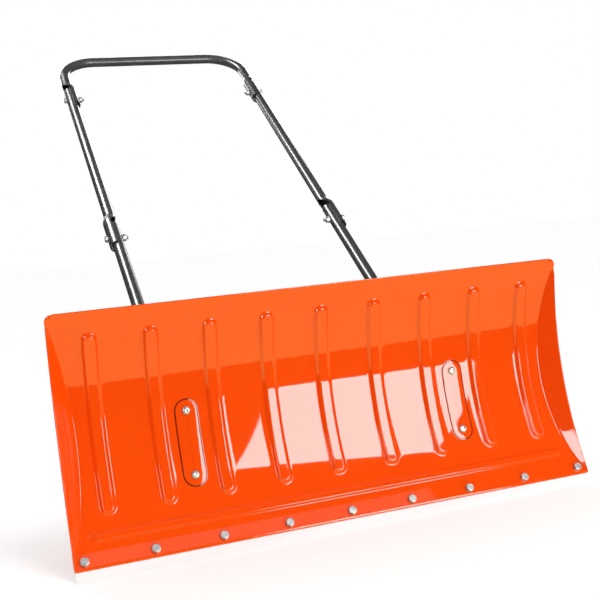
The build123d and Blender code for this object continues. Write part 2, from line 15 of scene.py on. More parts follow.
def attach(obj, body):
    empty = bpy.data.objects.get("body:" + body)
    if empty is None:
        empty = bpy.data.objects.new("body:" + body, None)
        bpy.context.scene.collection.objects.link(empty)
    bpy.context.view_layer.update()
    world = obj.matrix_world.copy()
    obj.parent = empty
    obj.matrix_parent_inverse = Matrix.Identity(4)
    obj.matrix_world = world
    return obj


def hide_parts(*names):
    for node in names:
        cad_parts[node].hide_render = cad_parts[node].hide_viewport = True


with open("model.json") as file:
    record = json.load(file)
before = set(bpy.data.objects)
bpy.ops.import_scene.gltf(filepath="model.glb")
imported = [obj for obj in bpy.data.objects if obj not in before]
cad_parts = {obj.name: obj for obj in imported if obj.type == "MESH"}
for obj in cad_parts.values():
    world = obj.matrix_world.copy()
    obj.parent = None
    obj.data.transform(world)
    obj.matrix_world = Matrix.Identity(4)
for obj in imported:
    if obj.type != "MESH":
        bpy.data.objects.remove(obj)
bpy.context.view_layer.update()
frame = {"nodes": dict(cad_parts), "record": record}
nodes = frame["nodes"]
MM = 0.001

# --- blade -------------------------------------------------------------------
BLADE_WIDTH = 914.0
SHEET_T = 1.5
ARC_R = 347.4
ARC_Y, ARC_Z = -251.1, 245.9
EDGE_ANGLE, FOLD_ANGLE = -41.6, 24.0
LIP_HEIGHT, LIP_ANGLE, LIP_CORNER = 16.7, 103.5, 13.0
WING_MIN, WING_WIDTH, WING_POWER = 3.0, 28.0, 0.8
WING_CREASE = 0.7  # softness of the crease along each flared end
CREASE_HALF = 2.4  # half width of the finer mesh round that crease
FLAT_HALF = 408.0  # the sheet's outermost rib ends before this X
RIB_COUNT, RIB_PITCH = 9, 97.7
RIB_BOTTOM, RIB_TOP = -28.5, 20.6
RIB_BASE, RIB_CREST, RIB_HEIGHT = 14.0, 7.3, 5.5
CROSS_ANGLE, CROSS_HALF = -33.6, 423.0
CROSS_BASE, CROSS_CREST, CROSS_HEIGHT = 8.2, 4.6, 3.8
PAD_ANGLES = (-21.7, -4.2)  # of the two bolts in each pad
PAD_X, PAD_HALF, PAD_LENGTH, PAD_HEIGHT = 245.0, 19.0, 143.0, 0.9
# Inset from the pad's outline, and share of its height, from the outside in. The first strips
# between them, as many as counted below, are the shallow crease, painted darker as painted shade.
PAD_SHADED_STRIPS = 2
PAD_STEPS = ((-1.2, 0.12), (0.5, 0.2), (1.1, 0.85), (1.8, 1.0), (10.0, 1.0), (18.8, 1.0))

# --- wheels ------------------------------------------------------------------
AXLE_Y, AXLE_Z = 153.4, 63.5
WHEEL_X, WHEEL_R, RIM_R, RIM_HALF = 292.8, 63.5, 54.4, 16.5
SPACER_R, BUSH_R, HUB_R, RIM_LIP = 9.5, 8.5, 17.0, 51.0
TYRE_HALF = (  # from the bead to the middle of the tread: z, radius, rounding
    (14.8, 54.0, 0.5),
    (16.5, 55.4, 0.8),
    (16.45, 57.5, 0.2),
    (15.9, 57.9, 0.2),
    (16.4, 58.3, 0.2),
    (16.0, 60.6, 1.6),
    (13.0, 63.1, 2.2),
    (6.0, WHEEL_R, 1.5),
)
VANE_COUNT, VANE_COLUMNS = 6, 24  # and the mesh columns across each vane
VANE_TWIST, VANE_DEPTH, VANE_T = 52.0, 8.0, 2.2
VANE_START, VANE_END = 26.0, 46.0  # radii between which the vanes fall away
VANE_FACE = 12.8  # height of the vanes' upper edges above the wheel's middle
VANE_DROP, VANE_RISE = (0.02, 0.2), (0.28, 0.97)  # shares of a vane's turn over which it slopes

# --- handle ------------------------------------------------------------------
PIVOT_Y, PIVOT_Z, HANDLE_ANGLE = 116.6, 151.5, 36.6
SLOT_R = 82.0
LOWER_JOINT, UPPER_JOINT = 618.0, 1241.6
TUBE_X, TUBE_R, TUBE_WALL = 248.5, 12.5, 1.5
FRONT_END, BAR_AT, BAR_BEND = -19.0, 1455.4, 90.0
CAP_T, CAP_PLUG = 3.0, 9.0
# Each upper tube ends in a half-round cup that wraps the tube below it.
CUP_BELOW, CUP_ABOVE, CUP_BLEND, TUBE_ABOVE = 29.0, 54.0, 28.0, 45.0
CUP_OFFSET, CUP_INNER, CUP_WALL = 3.0, 12.8, 3.0
CUP_REACH = CUP_OFFSET + CUP_INNER + CUP_WALL
TUBE_STEPS = 40  # steps round a tube's wall
FULL_TUBE = (0.0, TUBE_R, TUBE_R - TUBE_WALL, pi)  # shift, outer, inner, half angle

# --- fasteners ---------------------------------------------------------------
M8, M8_FLATS, M8_HEAD, M8_NUT, M8_WASHER = 4.0, 13.0, 5.3, 6.5, 8.0  # M8 and M12 are radii
M8_SIZE = (M8_FLATS, M8_HEAD, M8_NUT, M8)
M12, M12_WASHER = 6.0, 12.0
M12_SIZE = (19.0, 7.5, 10.0, M12)
WASHER_T, WASHER_PLAY = 1.6, 0.3
SEAT, GAP = 0.1, 0.4  # under heads on curved faces, and between moving faces
CHAMFER_SHARE = 0.94  # radius where a hexagon's chamfer ends, as a share of half its flats
THREAD_PITCH = 0.31  # as a share of the shank's radius
RING_STEPS = 36  # steps round heads, nuts and caps
STRIP_BOLTS, STRIP_PITCH, STRIP_ANGLE, STRIP_T = 9, 110.0, -39.4, 4.0
PLATE_INNER, PLATE_T = 261.5, 2.5
BUTTON_R, BUTTON_H, SOCKET = 7.0, 4.4, 5.0
DOME_ANGLE = radians(62)

SIDES = {"left": 1, "right": -1}
ARC_LENGTH = radians(FOLD_ANGLE - EDGE_ANGLE) * ARC_R


# --- materials ---------------------------------------------------------------
class Nodes:
    """Short-hand for a material's node tree."""

    def __init__(self, name):
        self.material = bpy.data.materials.new(name)
        self.material.use_nodes = True
        self.tree = self.material.node_tree
        self.shader = self.tree.nodes["Principled BSDF"]
        self.coords = self.tree.nodes.new("ShaderNodeTexCoord").outputs["Object"]

    def link(self, source, target):
        self.tree.links.new(source, target)

    def set(self, **values):
        for name, value in values.items():
            self.shader.inputs[name.replace("_", " ")].default_value = value

    def noise(self, scale, detail=3.0, stretch=(1, 1, 1)):
        """Noise in object space; scale is in features per metre."""
        mapping = self.tree.nodes.new("ShaderNodeMapping")
        mapping.inputs["Scale"].default_value = stretch
        self.link(self.coords, mapping.inputs["Vector"])
        texture = self.tree.nodes.new("ShaderNodeTexNoise")
        texture.inputs["Scale"].default_value = scale
        texture.inputs["Detail"].default_value = detail
        self.link(mapping.outputs["Vector"], texture.inputs["Vector"])
        return texture.outputs["Fac"]

    def ramp(self, source, low, high, start=0.3, end=0.7):
        """Colour or number that runs from low to high over the source."""
        if isinstance(low, (int, float)):
            node = self.tree.nodes.new("ShaderNodeMapRange")
            self.link(source, node.inputs["Value"])
            limits = {"From Min": start, "From Max": end, "To Min": low, "To Max": high}
            for name, value in limits.items():
                node.inputs[name].default_value = value
            return node.outputs["Result"]
        node = self.tree.nodes.new("ShaderNodeValToRGB")
        self.link(source, node.inputs["Fac"])
        for element, place, colour in zip(node.color_ramp.elements, (start, end), (low, high)):
            element.position = place
            element.color = (*colour, 1.0)
        return node.outputs["Color"]

    def bump(self, source, distance, strength=1.0, below=None):
        """Bump of a height in millimetres, laid on top of another bump if given."""
        node = self.tree.nodes.new("ShaderNodeBump")
        node.inputs["Distance"].default_value = distance * MM
        node.inputs["Strength"].default_value = strength
        self.link(source, node.inputs["Height"])
        if below:
            self.link(below, node.inputs["Normal"])
        self.link(node.outputs["Normal"], self.shader.inputs["Normal"])
        return node.outputs["Normal"]

    def colour(self, source):
        self.link(source, self.shader.inputs["Base Color"])

    def roughness(self, source):
        self.link(source, self.shader.inputs["Roughness"])


def make_orange_paint(name="orange_paint", shade=1.0):
    """Glossy powder coat with faint orange peel and a little colour drift; a shade below 1 darkens
    it into painted shade.
    """
    n = Nodes(name)
    deep = (0.86 * shade, 0.066 * shade, 0.001)
    light = (0.90 * shade, 0.075 * shade, 0.002)
    n.colour(n.ramp(n.noise(3.0, 4.0), deep, light))
    n.roughness(n.ramp(n.noise(14.0, 5.0), 0.22, 0.34))
    n.set(Coat_Weight=1.0, Coat_Roughness=0.03, Coat_IOR=1.5, Specular_IOR_Level=0.0)
    wave = n.bump(n.noise(18.0, 1.0), 0.25, 0.35)
    n.bump(n.noise(420.0, 2.0), 0.02, 0.5, wave)
    return n.material


def make_tube_paint():
    """Dark grey satin powder coat, finely grained."""
    n = Nodes("tube_paint")
    n.colour(n.ramp(n.noise(30.0, 5.0), (0.042, 0.043, 0.044), (0.062, 0.063, 0.064)))
    n.roughness(n.ramp(n.noise(120.0, 4.0), 0.26, 0.38))
    n.set(Coat_Weight=0.3, Coat_Roughness=0.15)
    n.bump(n.noise(900.0, 3.0), 0.03, 0.6)
    return n.material


def make_zinc():
    """Zinc-plated steel, mid grey, with a fine drift in its colour and gloss."""
    n = Nodes("zinc_steel")
    n.colour(n.ramp(n.noise(160.0, 4.0), (0.36, 0.36, 0.37), (0.56, 0.56, 0.55)))
    n.roughness(n.ramp(n.noise(300.0, 5.0), 0.24, 0.42))
    n.set(Metallic=0.7)
    n.bump(n.noise(1200.0, 3.0), 0.02, 0.5)
    return n.material


def make_strip_plastic():
    """White wear strip, satin, with long scuffs along the blade."""
    n = Nodes("strip_plastic")
    n.colour(n.ramp(n.noise(20.0, 5.0, (0.15, 1, 1)), (0.80, 0.80, 0.79), (0.90, 0.90, 0.90)))
    n.roughness(n.ramp(n.noise(90.0, 5.0, (0.05, 1, 1)), 0.32, 0.5))
    n.set(Subsurface_Weight=0.08, Subsurface_Scale=0.003)
    n.bump(n.noise(500.0, 4.0, (0.04, 1, 1)), 0.03, 0.5)
    return n.material


def make_wheel_plastic():
    """White moulded plastic with a soft gloss and faint flow marks."""
    n = Nodes("wheel_plastic")
    n.colour(n.ramp(n.noise(35.0, 4.0), (0.80, 0.79, 0.78), (0.88, 0.87, 0.86)))
    n.roughness(n.ramp(n.noise(90.0, 4.0), 0.22, 0.34))
    n.set(Subsurface_Weight=0.1, Subsurface_Scale=0.003)
    n.bump(n.noise(260.0, 3.0), 0.03, 0.5)
    return n.material


def make_tyre_rubber():
    """Black rubber, greyer where dust has caught in its grain."""
    n = Nodes("tyre_rubber")
    n.colour(n.ramp(n.noise(60.0, 6.0), (0.012, 0.012, 0.013), (0.032, 0.031, 0.030)))
    n.roughness(n.ramp(n.noise(200.0, 5.0), 0.36, 0.58))
    n.bump(n.noise(1400.0, 4.0), 0.05, 0.7)
    return n.material


def make_black_plastic():
    """Moulded end caps, finely textured."""
    n = Nodes("black_plastic")
    n.colour(n.ramp(n.noise(80.0, 4.0), (0.012, 0.012, 0.012), (0.025, 0.025, 0.025)))
    n.roughness(n.ramp(n.noise(200.0, 4.0), 0.4, 0.55))
    n.bump(n.noise(1500.0, 3.0), 0.05, 0.7)
    return n.material


def make_bronze():
    """Sintered bronze bush, dull and porous."""
    n = Nodes("bush_bronze")
    n.colour(n.ramp(n.noise(300.0, 5.0), (0.30, 0.18, 0.07), (0.48, 0.31, 0.13)))
    n.roughness(n.ramp(n.noise(500.0, 4.0), 0.35, 0.55))
    n.set(Metallic=1.0)
    n.bump(n.noise(1600.0, 4.0), 0.04, 0.7)
    return n.material


MATERIALS = {
    "orange_paint": make_orange_paint(),
    "tube_paint": make_tube_paint(),
    "zinc_steel": make_zinc(),
    "strip_plastic": make_strip_plastic(),
    "wheel_plastic": make_wheel_plastic(),
    "tyre_rubber": make_tyre_rubber(),
    "black_plastic": make_black_plastic(),
    "bush_bronze": make_bronze(),
}
# A darker copy of the paint, laid in the pads' creases as painted shade.
CREASE_SHADE_PAINT = make_orange_paint("crease_shade_paint", 0.2)

for part in frame["record"]["subparts"]:
    for slot in nodes[part["node"]].material_slots:
        slot.material = MATERIALS[part["material_slot"]]


# --- mesh helpers ------------------------------------------------------------
def add_piece(name, mesh_data, body, slot, replaced=(), smooth_angle=40.0):
    """Puts a finished bmesh in the scene as a piece of a body."""
    bmesh.ops.recalc_face_normals(mesh_data, faces=mesh_data.faces)
    mesh = bpy.data.meshes.new(name)
    mesh_data.to_mesh(mesh)
    mesh_data.free()
    mesh.materials.append(MATERIALS[slot])
    mesh.shade_smooth()
    mesh.set_sharp_from_angle(angle=radians(smooth_angle))
    piece = bpy.data.objects.new(name, mesh)
    bpy.context.scene.collection.objects.link(piece)
    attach(piece, body)
    if replaced:
        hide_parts(*replaced)
    return piece


def join_rows(mesh_data, rows, closed=False):
    """Quads between neighbouring rows of vertices."""
    for low, high in zip(rows, rows[1:]):
        count = len(low)
        for i in range(count if closed else count - 1):
            j = (i + 1) % count
            mesh_data.faces.new((low[i], low[j], high[j], high[i]))


def smooth_step(value, start, end):
    """0 at start, 1 at end, level at both."""
    share = min(1.0, max(0.0, (value - start) / (end - start)))
    return share * share * (3 - 2 * share)


def spread(start, end, step):
    """Evenly spaced values from start to end, both included."""
    count = max(1, round(abs(end - start) / step))
    return [start + (end - start) * i / count for i in range(count + 1)]


def frame_of(place, direction):
    """Turns local coordinates, Z along direction, into the part's frame."""
    turn = Vector(direction).normalized().to_track_quat("Z", "Y")
    return Matrix.Translation(Vector(place) * MM) @ turn.to_matrix().to_4x4() @ Matrix.Scale(MM, 4)


def round_point(mesh_data, matrix, radius, turn, z):
    """New vertex at a radius, an angle and a height in local coordinates."""
    return mesh_data.verts.new(matrix @ Vector((radius * cos(turn), radius * sin(turn), z)))


def hexagon_reach(flats, turn):
    """Distance from a hexagon's middle to its edge at an angle."""
    return flats / 2 / cos((turn + pi / 6) % (pi / 3) - pi / 6)


def add_rings(mesh_data, matrix, rings, flats=None, segments=RING_STEPS, capped=True):
    """Solid of revolution from (z, radius) rings; a width across flats clips it to a hexagon.

    Returns the last ring, which stays open if capped is off.
    """
    rows = []
    for z, radius in rings:
        row = []
        for i in range(segments):
            turn = 2 * pi * i / segments
            reach = min(radius, hexagon_reach(flats, turn)) if flats else radius
            row.append(round_point(mesh_data, matrix, reach, turn, z))
        rows.append(row)
    join_rows(mesh_data, rows, closed=True)
    mesh_data.faces.new(rows[0])
    if capped:
        mesh_data.faces.new(rows[-1])
    return rows[-1]


def add_turned(mesh_data, matrix, outline, segments=72):
    """Ring turned from a closed (z, radius) outline."""
    turns = [2 * pi * i / segments for i in range(segments)]
    rows = []
    for z, radius in outline:
        rows.append([round_point(mesh_data, matrix, radius, turn, z) for turn in turns])
    join_rows(mesh_data, rows + rows[:1], closed=True)


def rounded(corners, steps=4):
    """Closed outline from (z, radius, rounding) corners."""
    outline = []
    for i, (z, radius, size) in enumerate(corners):
        here = Vector((z, radius))
        start = here + (Vector(corners[i - 1][:2]) - here).normalized() * size
        end = here + (Vector(corners[(i + 1) % len(corners)][:2]) - here).normalized() * size
        for share in spread(0, 1, 1 / steps):
            curve = start * (1 - share) ** 2 + here * 2 * share * (1 - share) + end * share**2
            outline.append(curve)
    return outline


def collar(length, inner, outer, edge):
    """Outline of a plain ring with broken edges."""
    places = ((0, inner), (0, outer), (length, outer), (length, inner))
    return rounded([(z, radius, edge) for z, radius in places], 2)


def chamfered(flats, height):
    """Rings of a hexagon with the usual turned chamfer on its top."""
    corner, flat = flats / sqrt(3), flats / 2
    low = [(0.0, corner - 0.25), (0.25, corner)]
    least = CHAMFER_SHARE * flat
    top = []
    for radius in spread(corner, least, 0.5):
        top.append((height - (radius - least) * tan(radians(30)), radius))
    return low + top + [(height, 0.9 * flat)]


def add_shank(mesh_data, matrix, radius, start, end, thread_from):
    """Plain shank, with ridges of thread from thread_from to its end."""
    rings = [(start, radius), (thread_from, radius)]
    pitch, root, taper = THREAD_PITCH * radius, 0.88 * radius, 0.4
    z = thread_from
    while z + pitch < end - taper:
        rings += [(z + 0.15 * pitch, radius), (z + 0.5 * pitch, root), (z + 0.85 * pitch, radius)]
        z += pitch
    rings += [(end - taper, radius), (end, radius - 0.5)]
    add_rings(mesh_data, matrix, rings, segments=24)


# --- blade sheet -------------------------------------------------------------
def section(s):
    """Front face at arc length s from the lower edge: (y, z) and the way it faces."""
    if s <= ARC_LENGTH:
        turn = radians(EDGE_ANGLE) + s / ARC_R
        return (ARC_Y + ARC_R * cos(turn), ARC_Z + ARC_R * sin(turn)), (-cos(turn), -sin(turn))
    turn = radians(LIP_ANGLE)
    fold_y, fold_z = section(ARC_LENGTH)[0]
    along = s - ARC_LENGTH
    return (fold_y + along * cos(turn), fold_z + along * sin(turn)), (-sin(turn), cos(turn))


def arc_at(angle):
    """Arc length from the lower edge to an angle on the blade's arc."""
    return radians(angle - EDGE_ANGLE) * ARC_R


def bead(distance, base, crest):
    """Height of a pressed bead, 1 on its crest and 0 past its base."""
    return 1.0 - smooth_step(distance, crest, base)


def to_segment(along, across, start, end):
    """Distance from a straight run, so that its ends come out round."""
    beyond = max(start - along, 0.0, along - end)
    return sqrt(beyond**2 + across**2)


RIB_XS = [(i - (RIB_COUNT - 1) / 2) * RIB_PITCH for i in range(RIB_COUNT)]
RIB_RUN = (arc_at(RIB_BOTTOM) + RIB_BASE, arc_at(RIB_TOP) - RIB_BASE)


def wing_width(s):
    """Width of the flared end at arc length s; it runs out just under the lip."""
    share = min(1.0, s / ARC_LENGTH)
    least = WING_MIN * (1 - smooth_step(s, ARC_LENGTH - 12, ARC_LENGTH))
    return least + WING_WIDTH * sin(pi * share) ** WING_POWER


def relief(x, s):
    """How far the sheet stands out of its plain arc, towards the front."""
    nearest = min(abs(x - rib_x) for rib_x in RIB_XS)
    height = RIB_HEIGHT * bead(to_segment(s, nearest, *RIB_RUN), RIB_BASE, RIB_CREST)
    cross = to_segment(x, s - arc_at(CROSS_ANGLE), CROSS_BASE - CROSS_HALF, CROSS_HALF - CROSS_BASE)
    height += CROSS_HEIGHT * bead(cross, CROSS_BASE, CROSS_CREST)
    past_crease = abs(x) - (BLADE_WIDTH / 2 - wing_width(s))
    if s < ARC_LENGTH and past_crease > -10 * WING_CREASE:
        height += (past_crease + sqrt(past_crease**2 + WING_CREASE**2)) / 2
    return height


def thin_out(values, least):
    """Sorted values with near-duplicates dropped."""
    kept = []
    for value in sorted(values):
        if not kept or value - kept[-1] >= least:
            kept.append(value)
    return kept


def flat_columns():
    """X places of the mesh columns between the flared ends, finer over the ribs."""
    xs = spread(0, FLAT_HALF, 8)
    for rib_x in RIB_XS:
        xs += spread(rib_x - RIB_BASE - 0.5, rib_x + RIB_BASE + 0.5, 1.3)
    xs = thin_out([abs(x) for x in xs], 0.8)
    return sorted({-x for x in xs} | set(xs))


def end_columns(s, half):
    """X places of the columns over one end, which follow its crease."""
    wing = max(1.0, wing_width(s))
    crease, soft = half - wing, min(CREASE_HALF, 0.6 * wing)
    before = spread(FLAT_HALF, crease - soft, (crease - soft - FLAT_HALF) / 5)[1:]
    around = [crease + soft * share for share in (-0.6, -0.3, -0.1, 0.1, 0.3, 0.6)]
    return before + around + spread(crease + soft, half, (half - crease - soft) / 10)


def blade_rows():
    """Arc lengths of the mesh rows, finer over the cross bead, the ribs' ends and the lip."""
    cross = arc_at(CROSS_ANGLE)
    rows = spread(0, ARC_LENGTH, 5) + spread(cross - CROSS_BASE - 1, cross + CROSS_BASE + 1, 1.0)
    for end in (arc_at(RIB_BOTTOM), arc_at(RIB_TOP) - RIB_BASE):
        rows += spread(end - 1, end + RIB_BASE + 1, 1.4)
    rows = thin_out([s for s in rows if s < ARC_LENGTH - 1], 0.7)
    rows += [ARC_LENGTH - 0.6, ARC_LENGTH + 0.6]
    return rows + spread(ARC_LENGTH + 1.8, ARC_LENGTH + LIP_HEIGHT, 1.1)


def build_blade():
    """The pressed sheet: arc, ribs, cross bead, flared ends and lip, thickened to the back."""
    half = BLADE_WIDTH / 2
    middle = flat_columns()
    mesh_data = bmesh.new()
    grid = []
    for s in blade_rows():
        (y, z), (face_y, face_z) = section(s)
        into_corner = max(0.0, s - (ARC_LENGTH + LIP_HEIGHT - LIP_CORNER))
        reach = half - (LIP_CORNER - sqrt(LIP_CORNER**2 - into_corner**2))
        if s < ARC_LENGTH:
            reach -= SHEET_T / sqrt(2)  # a flared end's back face reaches out this much further
        end = end_columns(s, half)
        row = []
        for x in [-value for value in reversed(end)] + middle + end:
            placed = max(-reach, min(reach, x))
            height = relief(placed, s)
            place = (placed * MM, (y + height * face_y) * MM, (z + height * face_z) * MM)
            row.append(mesh_data.verts.new(place))
        grid.append(row)
    join_rows(mesh_data, grid)
    bmesh.ops.remove_doubles(mesh_data, verts=mesh_data.verts, dist=0.02 * MM)
    piece = add_piece("blade_shell", mesh_data, "blade", "orange_paint", ["blade_sheet"], 55)
    solid = piece.modifiers.new("thickness", "SOLIDIFY")
    solid.thickness = SHEET_T * MM
    solid.offset = -1.0 if piece.data.polygons[0].normal.y < 0 else 1.0  # towards the back


def build_pad(name, side):
    """Oblong raised pad round a bracket's two bolts, with painted shade in the shallow crease round
    it.
    """
    middle = arc_at(sum(PAD_ANGLES) / 2)
    reach = PAD_LENGTH / 2 - PAD_HALF
    turns = spread(0, pi, pi / 24)
    flank = spread(reach, -reach, 5)[1:-1]
    mesh_data = bmesh.new()
    rows = []
    for inset, height in PAD_STEPS:
        radius = PAD_HALF - inset
        lift = height * PAD_HEIGHT
        outline = []
        for end in (1, -1):
            for turn in turns:
                outline.append((end * radius * cos(turn), end * (reach + radius * sin(turn))))
            outline += [(-end * radius, end * along) for along in flank]
        row = []
        for across, along in outline:
            (y, z), (face_y, face_z) = section(middle + along)
            place = (side * PAD_X + across, y + lift * face_y, z + lift * face_z)
            row.append(mesh_data.verts.new([value * MM for value in place]))
        rows.append(row)
    join_rows(mesh_data, rows, closed=True)
    piece = add_piece(name, mesh_data, "blade", "orange_paint", (), 60)
    piece.data.materials.append(CREASE_SHADE_PAINT)
    # The crease faces get the darker paint: painted shade, not a darker finish.
    for face in piece.data.polygons[: PAD_SHADED_STRIPS * len(rows[0])]:
        face.material_index = 1


# --- fasteners ---------------------------------------------------------------
def bolt(mesh_data, place, direction, size, length, thread):
    """Hexagon bolt: place is under the head, direction runs down the shank."""
    flats, head, _, radius = size
    matrix = frame_of(place, [-value for value in direction])
    add_rings(mesh_data, matrix, chamfered(flats, head), flats)
    add_shank(mesh_data, frame_of(place, direction), radius, -0.5, length, length - thread)


def nut(mesh_data, place, direction, size):
    """Hexagon nut: place is on its seat, direction runs away from the seat."""
    flats, _, height, _ = size
    add_rings(mesh_data, frame_of(place, direction), chamfered(flats, height), flats)


def washer(mesh_data, place, direction, shank, radius):
    """Flat washer: place is on one face, direction runs to the other."""
    outline = collar(WASHER_T, shank + WASHER_PLAY, radius, 0.25)
    add_turned(mesh_data, frame_of(place, direction), outline, 48)


def button_bolt(mesh_data, place, direction, length):
    """M8 dome-headed bolt with a hexagon socket: place is under the head."""
    matrix = frame_of(place, [-value for value in direction])
    rim, chamfer, floor_height = 0.8, 0.25, 1.6
    dome = [(0.0, BUTTON_R - 0.3), (0.3, BUTTON_R)]
    for turn in spread(0, DOME_ANGLE, radians(8)):
        rise = sin(turn) / sin(DOME_ANGLE)
        dome.append((rim + (BUTTON_H - rim) * rise, BUTTON_R * cos(turn)))
    rows = [add_rings(mesh_data, matrix, dome, capped=False)]
    for z, widening in ((BUTTON_H, chamfer), (BUTTON_H - 0.35, 0.0), (floor_height, 0.0)):
        row = []
        for i in range(RING_STEPS):
            turn = 2 * pi * i / RING_STEPS
            reach = hexagon_reach(SOCKET, turn) + widening
            row.append(round_point(mesh_data, matrix, reach, turn, z))
        rows.append(row)
    join_rows(mesh_data, rows, closed=True)
    mesh_data.faces.new(rows[-1])
    add_shank(mesh_data, frame_of(place, direction), M8, -0.5, length, length - 8)


def surface_place(x, angle, lift=0.0):
    """Point on the blade, lift behind its front face, and the way to the back."""
    turn = radians(angle)
    radius = ARC_R + lift
    return (x, ARC_Y + radius * cos(turn), ARC_Z + radius * sin(turn)), (0, cos(turn), sin(turn))


def along_handle(along, x=0.0):
    """Point on the handle's line, a distance from the pivot."""
    turn = radians(HANDLE_ANGLE)
    return (x, PIVOT_Y + along * cos(turn), PIVOT_Z + along * sin(turn))


def build_blade_fasteners():
    """Bolts and nuts of the wear strip and of the brackets."""
    heads, nuts = bmesh.new(), bmesh.new()
    grip = SHEET_T + STRIP_T
    for i in range(STRIP_BOLTS):
        x = (i - (STRIP_BOLTS - 1) / 2) * STRIP_PITCH
        place, back = surface_place(x, STRIP_ANGLE, -SEAT)
        bolt(heads, place, back, M8_SIZE, grip + M8_NUT + 2, 8)
        place, back = surface_place(x, STRIP_ANGLE, grip + SEAT)
        nut(nuts, place, back, M8_SIZE)
    add_piece("strip_bolt_set", heads, "blade", "zinc_steel", ["strip_bolts"])
    add_piece("strip_nut_set", nuts, "blade", "zinc_steel", ["strip_nuts"])
    heads, nuts = bmesh.new(), bmesh.new()
    grip = SHEET_T + PLATE_T
    for side in SIDES.values():
        for angle in PAD_ANGLES:
            place, back = surface_place(side * PAD_X, angle, -PAD_HEIGHT)
            button_bolt(heads, place, back, grip + M8_NUT + 2)
            place, back = surface_place(side * PAD_X, angle, grip + SEAT)
            nut(nuts, place, back, M8_SIZE)
    add_piece("bracket_bolt_set", heads, "blade", "zinc_steel", ["bracket_bolts"])
    add_piece("bracket_nut_set", nuts, "blade", "zinc_steel", ["bracket_nuts"])


def build_side_fasteners(side_name, side):
    """Axle, pivot and lock hardware of one side; X counts outwards."""
    out = (side, 0, 0)
    inwards = (-side, 0, 0)

    def at(x, centre):
        return (side * x, centre[1], centre[2])

    axle = (0, AXLE_Y, AXLE_Z)
    pivot = (0, PIVOT_Y, PIVOT_Z)
    lock = along_handle(SLOT_R)
    hub_outer = WHEEL_X + RIM_HALF + GAP
    tube_inner = TUBE_X - TUBE_R
    plate_outer = PLATE_INNER + PLATE_T
    for name, centre, head_x, size, nut_x, tail, body in (
        ("axle", axle, hub_outer + WASHER_T, M12_SIZE, PLATE_INNER - WASHER_T, 3, "blade"),
        ("pivot", pivot, plate_outer, M8_SIZE, tube_inner - GAP, 2, "blade"),
        ("lock", lock, plate_outer + GAP + WASHER_T, M8_SIZE, tube_inner, 2, "handle"),
    ):
        beyond = size[2] + tail  # the nut and what shows past it
        heads, nuts = bmesh.new(), bmesh.new()
        bolt(heads, at(head_x, centre), inwards, size, head_x - nut_x + beyond, beyond + 4)
        nut(nuts, at(nut_x, centre), inwards, size)
        start = f"{side_name}_{name}"
        add_piece(f"{start}_screw", heads, body, "zinc_steel", [f"{start}_bolt"])
        add_piece(f"{start}_hexnut", nuts, body, "zinc_steel", [f"{start}_nut"])
    pair, single, spacer = bmesh.new(), bmesh.new(), bmesh.new()
    for x in (PLATE_INNER - WASHER_T, hub_outer):
        washer(pair, at(x, axle), out, M12, M12_WASHER)
    washer(single, at(plate_outer + GAP, lock), out, M8, M8_WASHER)
    spacer_length = WHEEL_X - RIM_HALF - GAP - plate_outer
    outline = collar(spacer_length, M12 + WASHER_PLAY, SPACER_R, 0.5)
    add_turned(spacer, frame_of(at(plate_outer, axle), out), outline)
    for name, mesh_data, body, node in (
        ("axle_washer_pair", pair, "blade", "axle_washers"),
        ("lock_disc", single, "handle", "lock_washer"),
        ("axle_sleeve", spacer, "blade", "axle_spacer"),
    ):
        add_piece(f"{side_name}_{name}", mesh_data, body, "zinc_steel", [f"{side_name}_{node}"])


def build_joint_fasteners():
    """Bolts, nuts and washers of the handle's joints, heads outwards, on both sides."""
    for name, along, head_x, nut_x in (
        ("lower", LOWER_JOINT, TUBE_X + CUP_REACH, TUBE_X - TUBE_R),
        ("upper", UPPER_JOINT, TUBE_X + TUBE_R, TUBE_X - CUP_REACH),
    ):
        heads, nuts, washers = bmesh.new(), bmesh.new(), bmesh.new()
        length = head_x - nut_x + WASHER_T + M8_NUT + 5
        for side in SIDES.values():
            inwards = (-side, 0, 0)
            bolt(heads, along_handle(along, side * (head_x + SEAT)), inwards, M8_SIZE, length, 16)
            washer(washers, along_handle(along, side * (nut_x - SEAT)), inwards, M8, M8_WASHER)
            nut(nuts, along_handle(along, side * (nut_x - SEAT - WASHER_T)), inwards, M8_SIZE)
        start = f"{name}_joint"
        add_piece(f"{start}_bolt_pair", heads, "handle", "zinc_steel", [f"{start}_bolts"])
        add_piece(f"{start}_nut_pair", nuts, "handle", "zinc_steel", [f"{start}_nuts"])
        add_piece(f"{start}_washer_pair", washers, "handle", "zinc_steel", [f"{start}_washers"])


# --- wheels ------------------------------------------------------------------
def vane_fall(radius, turn):
    """How far a vane's face lies below the rim's face; turn runs 0 to 1 across one vane."""
    within = smooth_step(radius, VANE_START - 3, VANE_START)
    within *= 1 - smooth_step(radius, VANE_END, VANE_END + 2.5)
    return VANE_DEPTH * within * smooth_step(turn, *VANE_DROP) * (1 - smooth_step(turn, *VANE_RISE))


